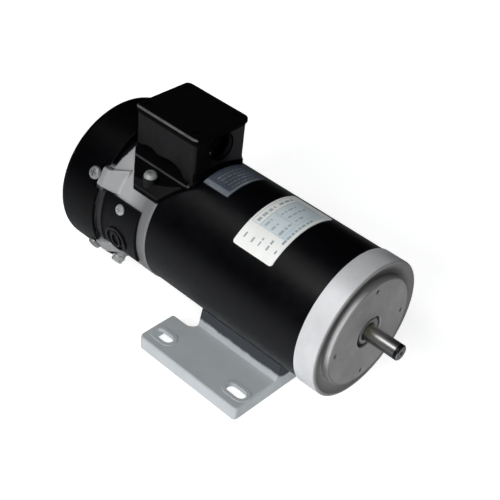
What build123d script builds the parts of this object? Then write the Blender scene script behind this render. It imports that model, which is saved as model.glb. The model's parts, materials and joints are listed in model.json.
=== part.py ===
from build123d import *
import os
from math import atan2, cos, degrees, sin, radians, sqrt, pi

os.makedirs("parts", exist_ok=True)

# Permanent-magnet brushed DC motor, foot mounted, fan cooled, junction box on top.
# Frame: +X is the shaft axis, pointing out of the output end.  +Z is up.
# Origin: shaft axis at the plane of the front mounting face.  Millimetres.

# ---------------------------------------------------------------- driving dimensions
R_ES = 54.0            # endshield outer radius
R_SH = 53.2            # stator shell outer radius
SHELL_T = 5.0          # shell wall
R_SI = R_SH - SHELL_T  # shell inner radius

X_RIM = -3.0           # plane of the front endshield's rim
X_SH1 = -20.7          # shell front end
X_SH2 = -167.5         # shell rear end
X_RING = -175.0        # rear edge of the rear endshield's ring
X_RE = -230.0          # rear end of the rear endshield's wall

SHAFT_R = 6.0          # output shaft radius
SHAFT_L = 27.5         # shaft length past the mounting face
SEAT_R = 7.5           # bearing seat radius
BODY_R = 9.5           # shaft radius under the core
FACE_R = 43.0          # raised mounting face radius
FACE_PCD = 72.0        # tapped holes in the mounting face
FACE_HOLE_R = 2.1      # M5 tapping size

BRG_OD_R = 17.5        # deep groove ball bearing 15 x 35 x 11
BRG_W = 11.0
BALL_R = 2.976
BALL_PITCH = 12.5
N_BALL = 8
X_FB = -5.0            # front bearing, front side
X_RB = -217.0          # rear bearing, front side

MAG_IN = 39.7          # magnet inner radius
CORE_R = 38.9          # armature core radius
X_CORE1, X_CORE2 = -40.0, -158.0
X_COM1, X_COM2 = -183.0, -211.0   # commutator bars
COM_R = 21.0

BOLT_R = 43.5          # radius of the through bolts' circle
BRUSH_X = -197.0       # brush centre along the shaft
BRUSH_W, BRUSH_H = 12.0, 8.0
WIN_A = 23.0           # half angle of the brush windows

FC_R = 61.3            # fan cover outer radius
FC_T = 2.0
X_FC1, X_FC2 = -217.0, -255.0
LUG_A = [148.0, 212.0, 328.0, 32.0]   # directions of the fan cover's lugs
X_LUG = -224.2
EARTH_X, EARTH_A = -208.0, 225.5      # earth screw on the rear endshield

BOX_X1, BOX_X2 = -211.5, -150.0   # junction box body
BOX_Y = 25.5
BOX_TOP = 84.0
LID_TOP = 88.0
BOX_FLOOR = 59.5
ENTRY_R = 10.0
ENTRY_Z = 72.6

FOOT_Z = -54.2         # flange top of the base
SHEET = 3.0
BASE_Z = -65.0         # plane that the base stands on
FOOT_Y = 80.5
FOOT_X1, FOOT_X2 = -141.4, -42.4
SLOT_X = [-128.4, -54.4]
SLOT_Y = 67.0
SLOT_L, SLOT_R = 17.0, 4.25


# ---------------------------------------------------------------- helpers
def out(name, shape):
    export_step(shape, "parts/" + name + ".step")


def group(items):
    solids = []
    for s in items:
        solids += list(s.solids())
    return Compound(children=solids) if len(solids) > 1 else solids[0]


def one(shape):
    """The single solid of a shape (the largest, if a cut left crumbs)."""
    return max(shape.solids(), key=lambda q: q.volume)


def prof(pts, radii=None):
    """Closed section in the plane of the shaft axis: (x, radius) points."""
    radii = radii or {}
    rr = [radii.get(i, 0) for i in range(len(pts))]
    if any(rr):
        w = FilletPolyline(*[(x, r) for x, r in pts], radius=rr, close=True)
    else:
        w = Polyline(*[(x, r) for x, r in pts], close=True)
    return make_face(w.edges())


def turn(pts, radii=None, a0=0.0, arc=360.0):
    """Solid of revolution about the shaft axis, from angle a0 over arc degrees.
    Angle 0 is +Y, 90 is +Z."""
    s = revolve(prof(pts, radii), Axis.X, arc)
    return Rot(a0, 0, 0) * s if a0 else s


def sector(x0, x1, r0, r1, a0, a1):
    return turn([(x0, r0), (x1, r0), (x1, r1), (x0, r1)], None, a0, a1 - a0)


def tube(x0, x1, r0, r1):
    c = Pos((x0 + x1) / 2, 0, 0) * Rot(0, 90, 0)
    s = c * Cylinder(r1, abs(x1 - x0))
    return s - c * Cylinder(r0, abs(x1 - x0) + 2) if r0 > 0 else s


def rod(p, axis, r, length):
    """Cylinder that starts at p and runs along axis."""
    pl = Plane(origin=p, z_dir=axis)
    return pl * Pos(0, 0, length / 2) * Cylinder(r, length)


def radial(x, ang, r0, r1, rad):
    """Radial pin at x, angle ang, between radii r0 and r1."""
    a = radians(ang)
    d = (0, cos(a), sin(a))
    return rod((x, r0 * cos(a), r0 * sin(a)), d, rad, r1 - r0)


def block(x0, x1, y0, y1, z0, z1):
    return Pos((x0 + x1) / 2, (y0 + y1) / 2, (z0 + z1) / 2) * Box(abs(x1 - x0), abs(y1 - y0), abs(z1 - z0))


def pan_screw(p, axis, head_r, head_h, shank_r, length, slot=True):
    """Screw with a domed head; p is where the head's underside sits, axis points out of the head."""
    pl = Plane(origin=p, z_dir=axis)
    f = make_face(Polyline((0, 0), (head_r, 0), (head_r, head_h * 0.45), (head_r * 0.88, head_h * 0.78),
                           (head_r * 0.6, head_h * 0.95), (head_r * 0.3, head_h), (0, head_h), close=True).edges())
    head = revolve(Plane.XZ * f, Axis.Z, 360)
    head += Pos(0, 0, -length / 2) * Cylinder(shank_r, length)
    if slot:
        head -= Pos(0, 0, head_h) * Box(head_r * 1.15, head_h * 0.32, head_h)
        head -= Pos(0, 0, head_h) * Box(head_h * 0.32, head_r * 1.15, head_h)
    return pl * head


def hex_bolt(p, axis, af, head_h, shank_r, length):
    """Hexagon bolt; p is where the head's underside sits, axis points out of the head."""
    pl = Plane(origin=p, z_dir=axis)
    hx = extrude(RegularPolygon(af / sqrt(3), 6), head_h)
    hx &= revolve(Plane.XZ * make_face(Polyline((0, 0), (af / sqrt(3) + .1, 0), (af / sqrt(3) + .1, head_h * .75),
                                                (af / 2 * .92, head_h), (0, head_h), close=True).edges()), Axis.Z, 360)
    return pl * (hx + Pos(0, 0, -length / 2) * Cylinder(shank_r, length))


def ring_at(p, axis, r0, r1, t):
    pl = Plane(origin=p, z_dir=axis)
    return pl * Pos(0, 0, t / 2) * (Cylinder(r1, t) - Cylinder(r0, t + 1))


DIAG = [45.0, 135.0, 225.0, 315.0]


def yz(r, ang):
    a = radians(ang)
    return r * cos(a), r * sin(a)


# ---------------------------------------------------------------- stator shell and magnets
shell = tube(X_SH2, X_SH1, R_SI, R_SH)
BASE_BOLT_X = [-60.0, -104.0]
for x in BASE_BOLT_X:
    shell -= rod((x, 0, -R_SH - 2), (0, 0, 1), 2.55, 9)
out("stator_shell", shell)

mags = [sector(-162.0, -36.0, MAG_IN, R_SI, a - 38, a + 38) for a in (0, 90, 180, 270)]
out("field_magnets", group(mags))

# ---------------------------------------------------------------- front endshield
fe = turn([(0, 12.5), (0, FACE_R), (-6.4, FACE_R), (-6.4, 45.0), (X_RIM, 51.2), (X_RIM, R_ES), (X_SH1, R_ES),
           (X_SH1, R_SI - .1), (-26, R_SI - .1), (-26, 39.5), (-11, 39.5), (-11, 25), (-17.5, 24), (-17.5, BRG_OD_R),
           (X_FB, BRG_OD_R), (X_FB, 12.5)],
          {0: .6, 1: 1.6, 2: .8, 3: 1.5, 4: 1.5, 5: 1.4, 11: 1.0, 10: 1.5})
for i in range(4):
    y, z = yz(FACE_PCD / 2, i * 90)
    fe -= rod((1, y, z), (-1, 0, 0), FACE_HOLE_R, 10.5)
for a in DIAG:
    y, z = yz(BOLT_R, a)
    fe -= rod((-27, y, z), (1, 0, 0), 2.5, 14.5)
out("front_endshield", fe)

# ---------------------------------------------------------------- rear endshield
re = turn([(X_SH2 + 4, 46.2), (X_SH2 + 4, R_SI - .1), (X_SH2, R_SI - .1), (X_SH2, R_ES), (X_RE, R_ES), (X_RE, 50),
           (-224, 50), (-224, 24), (-231.5, 23.2), (-231.5, 13), (-229.5, 13), (-229.5, BRG_OD_R), (-215, BRG_OD_R),
           (-215, 24.5), (-218, 25.5), (-218, 50), (X_SH2 - 3, 50), (X_SH2 - 3, 46.2)],
          {3: .8, 4: 1.0, 7: 1.5, 14: 1.2})
EARS = [(-194.7, 163.2, 180), (-194.7, 343.2, 360), (-194.7, 252.6, 270)]   # window cover screws: x, angle, window
for x, a, c in EARS:
    h = WIN_A if c != 270 else 22.0
    win = sector(-213.0, -179.0, 46, 60, c - h, c + h)
    win = one(win - sector(x - 6, x + 6, 40, 70, c - h - 5, a + 5))
    re = one(re - win)
    re = one(re - radial(x, a, 48, 56, 1.3))
re = one(re - sector(-208.0, -184.0, 46, 60, 68, 112))
# lugs that carry the fan cover
for a in LUG_A:
    lug = block(-229.5, -212.6, 51.5, 62, -5.4, 5.4)
    lug = fillet(lug.edges().filter_by(Axis.Y).sort_by(Axis.X)[-2:], 4.0)
    lug &= tube(-235, -205, 0, FC_R - FC_T - .03)
    z0, z1, z2 = (-7.6, 7.0, 7.0) if a in (148.0, 328.0) else (-7.0, 7.6, 7.6)
    if a == 148.0:
        wide = (-15.0, 6.9)
    elif a == 32.0:
        wide = (-6.9, 15.0)
    else:
        wide = (z0, z1)
    sec1 = Plane.YZ.offset(-219.8) * Pos(55.5, (z0 + z1) / 2) * Rectangle(11.0, z1 - z0)
    sec2 = Plane.YZ.offset(-215.0) * Pos(55.5, (z0 + z1) / 2) * Rectangle(11.0, z1 - z0)
    sec3 = Plane.YZ.offset(-201.5) * Pos(50.85, (wide[0] + wide[1]) / 2) * Rectangle(5.7, wide[1] - wide[0])
    pad = one(loft([sec1, sec2], ruled=True) + loft([sec2, sec3], ruled=True))
    top = [e for e in pad.edges() if e.center().Y > 53.0 and e.center().X < -203.0 and e.center().X > -219.5
           and abs(e.center().Z) > 2.5]
    pad = fillet(top, 1.8)
    re = one(re + Rot(a, 0, 0) * one(lug + pad))
    re -= radial(X_LUG, a, 48, 62, 1.55)
for a in DIAG:
    y, z = yz(BOLT_R, a)
    re -= rod((-210, y, z), (-1, 0, 0), 2.8, 20)
# boss of the earth screw
re = one(re + radial(EARTH_X, EARTH_A, 51.0, 58.6, 4.6))
re = one(re - radial(EARTH_X, EARTH_A, 49.0, 60.0, 1.6))
# junction box fixing holes
BOX_CX = (BOX_X1 + BOX_X2) / 2
BOX_SCR = [(-182.0, -37.0), (-182.0, 37.0)]
for x, y in BOX_SCR:
    re -= rod((x, y, 30), (0, 0, 1), 1.7, 20)
out("rear_endshield", re)

# ---------------------------------------------------------------- through bolts
tb, tw = [], []
for a in DIAG:
    y, z = yz(BOLT_R, a)
    tb.append(hex_bolt((-225.2, y, z), (-1, 0, 0), 8.0, 3.5, 2.45, 211.0))
    tw.append(ring_at((-224.0, y, z), (-1, 0, 0), 2.6, 4.6, 1.2))
out("through_bolts", group(tb))
out("through_bolt_washers", group(tw))

# ---------------------------------------------------------------- brush gear
ring = turn([(-218, 26.5), (-218, 47.5), (-214.5, 47.5), (-214.5, 26.5)])
for a in DIAG:
    y, z = yz(BOLT_R, a)
    ring -= rod((-213, y, z), (-1, 0, 0), 2.8, 8)
for s in (-1, 1):
    for zz in (-6.5, 6.5):
        ring -= rod((-213, s * 38, zz), (-1, 0, 0), 1.25, 6)
out("brush_ring", ring)


def holder():
    h = block(-205.4, -188.6, 24.5, 45.0, -6.4, 6.4)
    h = fillet(h.edges().filter_by(Axis.Y), 1.0)
    h += block(-214.5, -205.0, 31.0, 45.0, -9.5, 9.5)
    h -= block(BRUSH_X - BRUSH_W / 2 - .08, BRUSH_X + BRUSH_W / 2 + .08, 20, 50, -BRUSH_H / 2 - .08, BRUSH_H / 2 + .08)
    for zz in (-6.5, 6.5):
        h -= rod((-204, 38, zz), (-1, 0, 0), 1.6, 14)
    for zz in (-1, 1):
        h -= block(-206.5, -204.0, 33.5, 42.5, zz * 6.5 - 3.0, zz * 6.5 + 3.0)
    return h


def holder_cap():
    c = block(-204.4, -189.6, 45.0, 46.6, -6.0, 6.0)
    c += block(-201.5, -192.5, 43.4, 45.0, -3.4, 3.4)
    return c


def spring():
    coil = Helix(1.68, 8.4, 2.7, center=(BRUSH_X, 34.6, 0), direction=(0, 1, 0))
    pth = Wire([coil])
    sec = Plane(origin=coil @ 0, z_dir=coil % 0) * Circle(0.35)
    return sweep(sec, path=pth)


def brush():
    b = block(BRUSH_X - BRUSH_W / 2, BRUSH_X + BRUSH_W / 2, 18, 34.2, -BRUSH_H / 2, BRUSH_H / 2)
    b -= tube(X_COM2 - 5, X_COM1 + 5, 0, COM_R + .1)
    return b


half = Rot(180, 0, 0)
H, C, S, B = holder(), holder_cap(), spring(), brush()
out("brush_holder_right", H)
out("brush_holder_left", half * H)
out("holder_cap_right", C)
out("holder_cap_left", half * C)
out("brush_spring_right", S)
out("brush_spring_left", half * S)
out("brush_right", B)
out("brush_left", half * B)
hs = []
for s in (-1, 1):
    for zz in (-6.5, 6.5):
        hs.append(pan_screw((-206.5, s * 38, zz), (1, 0, 0), 2.4, 1.7, 1.2, 10.5))
out("brush_holder_screws", group(hs))

# ---------------------------------------------------------------- window covers
def window_cover(c, scr_a):
    """Curved moulded panel over a window of the rear endshield, centred on angle c."""
    x0, x1, h = -217.0, -176.3, 24.0
    p = sector(x0 + .6, x1, R_ES + .02, 56.4, c - h, c + h)
    p = fillet(p.edges().filter_by(Axis.X).group_by(lambda e: round(sqrt(e.center().Y ** 2 + e.center().Z ** 2), 1))[-1], 1.2)
    # tray that drops into the window
    t = sector(-212.6, -179.4, 51.2, R_ES + .1, c - WIN_A + .7, c + WIN_A - .7)
    t -= sector(-211.0, -181.0, 50, R_ES - .6, c - WIN_A + 2.5, c + WIN_A - 2.5)
    rel = sector(-201.2, -188.2, 49, R_ES, scr_a - 9.5, scr_a + 6.5)
    t -= rel
    p += t
    # strap along the rear edge and finger ribs
    p += sector(-216.4, -212.2, 56.3, 57.3, c - h + 1.5, c + h - 1.5)
    m = c + 11.5 if scr_a < c else c - 11.5
    ov = Pos(-196.5, 0, 0) * Rot(m, 0, 0) * Rot(-90, 0, 0) * (extrude(Ellipse(10.8, 10.8), 62) - extrude(Ellipse(8.8, 9.2), 62))
    ov += Pos(-196.5, 0, 0) * Rot(m, 0, 0) * Rot(-90, 0, 0) * (extrude(Ellipse(5.0, 7.4), 62) - extrude(Ellipse(3.4, 5.8), 62))
    p += ov & tube(-209, -180, 56.3, 57.7)
    p -= radial(-194.7, scr_a, 48, 60, 1.7)
    p -= radial(-194.7, scr_a, 55.6, 60, 4.6)
    return p


out("brush_cover_left", window_cover(180, 163.2))
out("brush_cover_right", window_cover(360, 343.2))
bc = sector(-216.4, -176.3, R_ES + .02, 55.6, 246, 294)
t = sector(-212.6, -179.4, 51.6, R_ES + .1, 248.7, 291.3) - sector(-211.0, -181.0, 50, R_ES - .6, 250.5, 289.5)
t -= sector(-201.2, -188.2, 49, R_ES, 244, 258.6)
bc += t
bc -= radial(-194.7, 252.6, 48, 60, 1.7)
out("bottom_cover", bc)
cs = []
for a, r in ((163.2, 55.6), (343.2, 55.6), (252.6, 55.6)):
    y, z = yz(r, a)
    ar = radians(a)
    cs.append(pan_screw((-194.7, y, z), (0, cos(ar), sin(ar)), 4.2, 2.2, 1.25, 5.2))
out("window_cover_screws", group(cs))

# ---------------------------------------------------------------- fan cover
fc = turn([(X_FC1, FC_R), (X_FC1, FC_R - FC_T), (X_FC2 + FC_T, FC_R - FC_T), (X_FC2 + FC_T, 0), (X_FC2, 0), (X_FC2, FC_R)],
          {0: .7, 2: 3.0, 5: 5.0})
for a in LUG_A:
    notch = block(-221.2, -210, 55, 63, -9.4, 9.4)
    notch = fillet(notch.edges().filter_by(Axis.Y).sort_by(Axis.X)[:2], 2.5)
    fc -= Rot(a, 0, 0) * notch
    fc -= radial(X_LUG, a, 55, 64, 2.2)
# grille: rings of arc slots
for r0, r1, n, gap in ((9.5, 13.5, 4, 24), (17.0, 21.0, 6, 14), (24.5, 28.5, 6, 11), (32.0, 36.0, 8, 9), (39.5, 43.5, 8, 8)):
    for i in range(n):
        fc -= sector(X_FC2 - 1, X_FC2 + FC_T + 1, r0, r1, i * 360 / n + gap / 2, (i + 1) * 360 / n - gap / 2)
out("fan_cover", fc)
fs = []
for a in LUG_A:
    ar = radians(a)
    y, z = yz(FC_R, a)
    fs.append(pan_screw((X_LUG, y, z), (0, cos(ar), sin(ar)), 5.0, 3.0, 1.5, 10.0))
out("fan_cover_screws", group(fs))

# ---------------------------------------------------------------- earth screw
ear = radians(EARTH_A)
y, z = yz(60.0, EARTH_A)
out("earth_screw", hex_bolt((EARTH_X, y, z), (0, cos(ear), sin(ear)), 8.0, 3.6, 1.5, 9.5))
y, z = yz(58.6, EARTH_A)
out("earth_washer", ring_at((EARTH_X, y, z), (0, cos(ear), sin(ear)), 1.8, 5.2, 1.4))

# ---------------------------------------------------------------- junction box
bx = block(BOX_X1, BOX_X2, -BOX_Y, BOX_Y, 40, BOX_TOP - .8)
bx = fillet(bx.edges().filter_by(Axis.Z), 3.5)
saddle = sector(-213.0, -149.0, R_ES - 6, 57.2, 30, 150)
plan = extrude(make_face(Polyline((-213, -24), (-192.5, -43.6), (-168.0, -43.6), (-149.0, -24), (-149.0, 24), (-168.0, 43.6),
                                  (-192.5, 43.6), (-213, 24), close=True).edges()), 90)
saddle &= plan
bx += saddle
bx = one(bx - tube(-230, -140, 0, R_ES + .03))
# wiring space, lead opening, entry
cav = block(BOX_X1 + 2.6, BOX_X2 - 2.8, -BOX_Y + 2.5, BOX_Y - 2.5, BOX_FLOOR, 100)
cav = fillet(cav.edges().filter_by(Axis.Z), 2.0)
PIL = [(-205.2, -19.2), (-205.2, 19.2), (-156.4, -19.2), (-156.4, 19.2)]
for x, y in PIL:
    cav -= rod((x, y, BOX_FLOOR - 1), (0, 0, 1), 4.0, 50)
    cav -= block(x - 4 if x < -180 else x, x if x < -180 else x + 4, min(y, y / abs(y) * 24), max(y, y / abs(y) * 24), BOX_FLOOR - 1, 100)
    cav -= block(x if x > -180 else x - 4, x + 4 if x > -180 else x, min(y, y / abs(y) * 24), max(y, y / abs(y) * 24), BOX_FLOOR - 1, 100)
bx -= cav
for x, y in PIL:
    bx -= rod((x, y, BOX_TOP - 16), (0, 0, 1), 1.3, 20)
bx -= block(-204, -188, -11, 5, 50, BOX_FLOOR + 1)
bx += rod((BOX_X2 - .5, 0, ENTRY_Z), (1, 0, 0), 11.2, 1.5)
bx -= rod((BOX_X2 - 6, 0, ENTRY_Z), (1, 0, 0), ENTRY_R, 12)
# pockets in the side walls and the saddle round the fixing screws, with a rib across each
def pocket(sg):
    arch = make_face(FilletPolyline((-214, 44), (-214, 56.2), (-205, 56.6), (-199.5, 58.9), (-193.0, 58.9), (-187.5, 56.6), (-176, 58.4), (-168.5, 57.6),
                                    (-163.0, 55.0), (-156.9, 45.3), radius=[0, 0, 5, 2.5, 2.5, 5, 8, 5, 4, 0], close=True).edges())
    cut = Pos(0, sg * BOX_Y, 0) * extrude(Plane.XZ * arch, 4.2, both=True)
    pl = make_face(Polyline((-216, sg * 22), (-216, sg * 42), (-197.6, sg * 40.6), (-184, sg * 39.6), (-176.1, sg * 38.6), (-168, sg * 36.5),
                            (-160.8, sg * 33.6), (-153.5, sg * (BOX_Y + 4.6)), (-153.5, sg * (BOX_Y + .01)), (-156.9, sg * 22), close=True).edges())
    cut += Pos(0, 0, 30) * extrude(pl, 30) & block(-216, -150, sg * BOX_Y, sg * 50, 30, 60)
    return cut - tube(-230, -140, 0, 55.2)


for sg in (-1, 1):
    bx = one(bx - pocket(sg))
    rib = block(-208.0, -155.5, sg * 27.9, sg * 28.9, 45.0, 48.4) - tube(-230, -140, 0, 54.6)
    bx = one(bx + one(rib))
# bosses and holes of the fixing screws
for x, y in BOX_SCR:
    bo = one(rod((x, y, 30), (0, 0, 1), 5.6, 15.6) - tube(-230, -140, 0, R_ES + .03))
    bx = one(bx + bo)
    bx -= rod((x, y, 45.6), (0, 0, 1), 5.7, 10.0)
    bx -= rod((x, y, 30), (0, 0, 1), 2.0, 18)
bx = one(bx - rod((-196.5, -17.0, BOX_FLOOR - 4.6), (0, 0, 1), 1.55, 6))
out("junction_box", bx)

gk = block(BOX_X1 + .6, BOX_X2 - .6, -BOX_Y + .6, BOX_Y - .6, BOX_TOP - .8, BOX_TOP)
gk = fillet(gk.edges().filter_by(Axis.Z), 3.0)
gk -= block(BOX_X1 + 11.5, BOX_X2 - 11.5, -BOX_Y + 2.6, BOX_Y - 2.6, 80, 90)
gk -= block(BOX_X1 + 2.6, BOX_X2 - 2.8, -BOX_Y + 11.5, BOX_Y - 11.5, 80, 90)
for x, y in PIL:
    gk -= rod((x, y, 80), (0, 0, 1), 1.7, 5)
out("lid_gasket", gk)

lid = block(BOX_X1 - 1.2, BOX_X2 + 1.2, -BOX_Y - 1.4, BOX_Y + 1.4, BOX_TOP, LID_TOP)
lid = fillet(lid.edges().filter_by(Axis.Z), 4.5)
lid = fillet(lid.faces().sort_by(Axis.Z)[-1].edges(), 1.8)
for x, y in PIL:
    lid -= rod((x, y, 80), (0, 0, 1), 1.75, 12)
    lid -= rod((x, y, LID_TOP - 2.4), (0, 0, 1), 3.3, 5)
out("junction_box_lid", lid)
out("lid_screws", group([pan_screw((x, y, LID_TOP - 2.4), (0, 0, 1), 2.9, 2.0, 1.25, 17.5) for x, y in PIL]))
out("box_screws", group([pan_screw((x, y, 46.6), (0, 0, 1), 4.4, 2.8, 1.65, 12.4) for x, y in BOX_SCR]))
out("box_washers", group([ring_at((x, y, 45.6), (0, 0, 1), 1.9, 5.0, 1.0) for x, y in BOX_SCR]))

tbk = block(-192, -166, 9.0, 19.0, BOX_FLOOR, BOX_FLOOR + 5.5)
for x in (-191.2, -179.0, -166.8):
    tbk += block(x - .8, x + .8, 9.0, 19.0, BOX_FLOOR + 5.0, BOX_FLOOR + 10.5)
for x in (-185.1, -172.9):
    tbk -= rod((x, 14, BOX_FLOOR + 1.5), (0, 0, 1), 1.5, 6)
out("terminal_block", tbk)
out("terminal_screws", group([pan_screw((x, 14, BOX_FLOOR + 6.3), (0, 0, 1), 3.2, 2.0, 1.4, 4.4) for x in (-185.1, -172.9)]))
tabs = []
for x in (-185.1, -172.9):
    tb_ = block(x - 4.4, x + 4.4, 10.0, 18.0, BOX_FLOOR + 5.5, BOX_FLOOR + 6.3) - rod((x, 14, BOX_FLOOR), (0, 0, 1), 1.6, 10)
    tabs.append(tb_)
out("terminal_tabs", group(tabs))
out("ground_screw", pan_screw((-196.5, -17.0, BOX_FLOOR), (0, 0, 1), 3.4, 2.2, 1.5, 4.0))

# leads from the brush holders up into the box
def lead(pts, r, rad):
    w = FilletPolyline(*pts, radius=rad)
    s0 = Plane(origin=w @ 0, z_dir=w % 0) * Circle(r)
    return sweep(s0, path=w)


leadL = lead([(-210.0, -34.0, 11.0), (-210.0, -30.0, 20.0), (-204.0, -18.0, 34.0), (-198.5, -8.5, 47.0), (-198.0, -7.0, 63.5),
              (-194.0, -1.0, 72.0), (-186.5, 6.2, 72.5), (-185.1, 10.2, 67.4)], 1.25, 2.0)
leadR = lead([(-210.0, 34.0, 11.0), (-210.0, 30.0, 20.0), (-204.0, 16.0, 34.0), (-195.0, 2.6, 47.0), (-194.0, 3.2, 60.0),
              (-190.0, 6.2, 66.0), (-180.0, 7.0, 67.4), (-172.9, 10.2, 67.4)], 1.25, 2.0)
out("motor_leads", group([leadL, leadR]))

# ---------------------------------------------------------------- mounting base
NOTCH_Y = 45.5                          # half width of the notch at the rear edge
plate = make_face(FilletPolyline((FOOT_X1, FOOT_Y), (FOOT_X2, FOOT_Y), (FOOT_X2, -FOOT_Y), (FOOT_X1, -FOOT_Y), (FOOT_X1, -NOTCH_Y),
                                 (-121.0, -NOTCH_Y), (-121.0, NOTCH_Y), (FOOT_X1, NOTCH_Y),
                                 radius=[5, 3, 3, 5, 2, 7, 7, 2], close=True).edges())
solid_top = Pos(0, 0, BASE_Z) * extrude(plate, FOOT_Z - BASE_Z)
solid_top = fillet(solid_top.faces().sort_by(Axis.Z)[-1].edges(), 1.6)
inner = make_face(FilletPolyline((FOOT_X1 + SHEET, FOOT_Y - SHEET), (FOOT_X2 - SHEET, FOOT_Y - SHEET), (FOOT_X2 - SHEET, -FOOT_Y + SHEET),
                                 (FOOT_X1 + SHEET, -FOOT_Y + SHEET), (FOOT_X1 + SHEET, -NOTCH_Y - SHEET), (-121.0 + SHEET, -NOTCH_Y - SHEET),
                                 (-121.0 + SHEET, NOTCH_Y + SHEET), (FOOT_X1 + SHEET, NOTCH_Y + SHEET),
                                 radius=[2.5, 1.5, 1.5, 2.5, 1, 9, 9, 1], close=True).edges())
base = solid_top - Pos(0, 0, BASE_Z - 1) * extrude(inner, FOOT_Z - SHEET - BASE_Z + 1)
# cradle: webs, saddle and end walls up to the shell
cr = Plane.YZ * make_face(Polyline((-40.7, FOOT_Z - 1.2), (-38.8, FOOT_Z + .6), (-36.2, -40.2), (36.2, -40.2), (38.8, FOOT_Z + .6), (40.7, FOOT_Z - 1.2),
                                   (40.7, BASE_Z + .0), (-40.7, BASE_Z + .0), close=True).edges())
cr = Pos(-121.0, 0, 0) * extrude(cr, 78.6)
hol = Plane.YZ * make_face(Polyline((-37.7, FOOT_Z - SHEET), (-36.2, FOOT_Z - 1), (-34.4, -46), (34.4, -46), (36.2, FOOT_Z - 1), (37.7, FOOT_Z - SHEET),
                                    (37.7, BASE_Z - 1), (-37.7, BASE_Z - 1), close=True).edges())
hol = Pos(-118.0, 0, 0) * extrude(hol, 72.6) - tube(-150, -10, 0, R_SH + SHEET)
cr -= hol
cr -= Pos(-118.0, 0, 0) * extrude(Plane.YZ * make_face(Polyline((-60, FOOT_Z - SHEET), (60, FOOT_Z - SHEET), (60, BASE_Z - 1), (-60, BASE_Z - 1), close=True).edges()), 72.6) \
    - tube(-150, -10, 0, R_SH + SHEET)
base = one(base + one(cr))
base = one(base - tube(-150, -10, 0, R_SH + .02))
for x in SLOT_X:
    for s in (-1, 1):
        y = s * SLOT_Y
        pad = Pos(x, y, FOOT_Z - .5) * extrude(SlotOverall(SLOT_L + 6.0, 2 * SLOT_R + 6.0), 1.0)
        pad = fillet(pad.faces().sort_by(Axis.Z)[-1].edges(), .45)
        base = one(base + one(pad & block(FOOT_X1 + .5, FOOT_X2 - .5, -FOOT_Y + .5, FOOT_Y - .5, -70, -40)))
        base -= Pos(x, y, FOOT_Z - 10) * extrude(SlotOverall(SLOT_L, 2 * SLOT_R), 16)
for x in BASE_BOLT_X:
    base -= rod((x, 0, -70), (0, 0, 1), 3.2, 20)
    base -= rod((x, 0, -62), (0, 0, 1), 6.6, 62 - 56.6)
out("mounting_base", base)
out("base_bolts", group([hex_bolt((x, 0, -57.6), (0, 0, -1), 10.0, 4.0, 2.5, 8.6) for x in BASE_BOLT_X]))
out("base_washers", group([ring_at((x, 0, -56.6), (0, 0, -1), 2.7, 6.0, 1.0) for x in BASE_BOLT_X]))

# ---------------------------------------------------------------- plates
out("nameplate", sector(-100.0, -64.0, R_SH + .01, R_SH + .5, 66, 134.5))
out("rating_label", sector(-149.0, -124.5, R_SH + .01, R_SH + .25, 64, 109))

# ---------------------------------------------------------------- bearings
def bearing(x_front):
    m = x_front - BRG_W / 2
    x0, x1 = x_front - BRG_W, x_front
    g = Pos(m, 0, 0) * Rot(0, 90, 0) * Torus(BALL_PITCH, BALL_R + .055)
    outer = turn([(x0, 14.4), (x0, BRG_OD_R), (x1, BRG_OD_R), (x1, 14.4)], {1: .5, 2: .5}) - g
    inner = turn([(x0, SEAT_R), (x0, 10.6), (x1, 10.6), (x1, SEAT_R)], {0: .3, 3: .3}) - g
    balls, cage = [], tube(m - 3.9, m + 3.9, 11.3, 13.7)
    for i in range(N_BALL):
        y, z = yz(BALL_PITCH, i * 360 / N_BALL + 11)
        balls.append(Pos(m, y, z) * Sphere(BALL_R))
        cage -= radial(m, i * 360 / N_BALL + 11, 8, 17, 3.12)
    return outer, inner, group(balls), cage


fo, fi, fb, fg = bearing(X_FB)
out("front_bearing_outer_ring", fo)
out("front_bearing_inner_ring", fi)
out("front_bearing_balls", fb)
out("front_bearing_cage", fg)
# the front seal has a dished cap that fills the bore of the face round the shaft
out("front_bearing_seal", turn([(X_FB - 1.1, 10.9), (X_FB - 1.1, 14.4), (X_FB - .4, 14.4), (X_FB - .4, 11.7), (-1.7, 11.2), (-1.0, 10.5), (-1.0, 7.2),
                                (-1.3, 6.9), (-1.8, 6.9), (-1.8, 10.2), (-2.2, 10.4), (X_FB - .4, 10.9)]))
ro, ri, rb, rg = bearing(X_RB)
out("rear_bearing_outer_ring", ro)
out("rear_bearing_inner_ring", ri)
out("rear_bearing_balls", rb)
out("rear_bearing_cage", rg)
out("preload_washer", tube(-229.5, X_RB - BRG_W, 14.2, 17.2))

# ---------------------------------------------------------------- rotor
shaft = turn([(SHAFT_L, 0), (SHAFT_L, SHAFT_R - .9), (SHAFT_L - .9, SHAFT_R), (-3.4, SHAFT_R), (-3.4, SEAT_R - .4), (-4.0, SEAT_R), (-16.0, SEAT_R),
              (-16.0, BODY_R), (-217.0, BODY_R), (-217.0, SEAT_R), (-229.0, SEAT_R), (-229.0, SHAFT_R), (-251.0, SHAFT_R), (-251.0, 0)])
shaft -= rod((SHAFT_L + .1, 0, 0), (-1, 0, 0), 1.4, 4.0)
shaft -= tube(-249.4, -248.5, 5.3, 8)
out("shaft", shaft)

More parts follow.
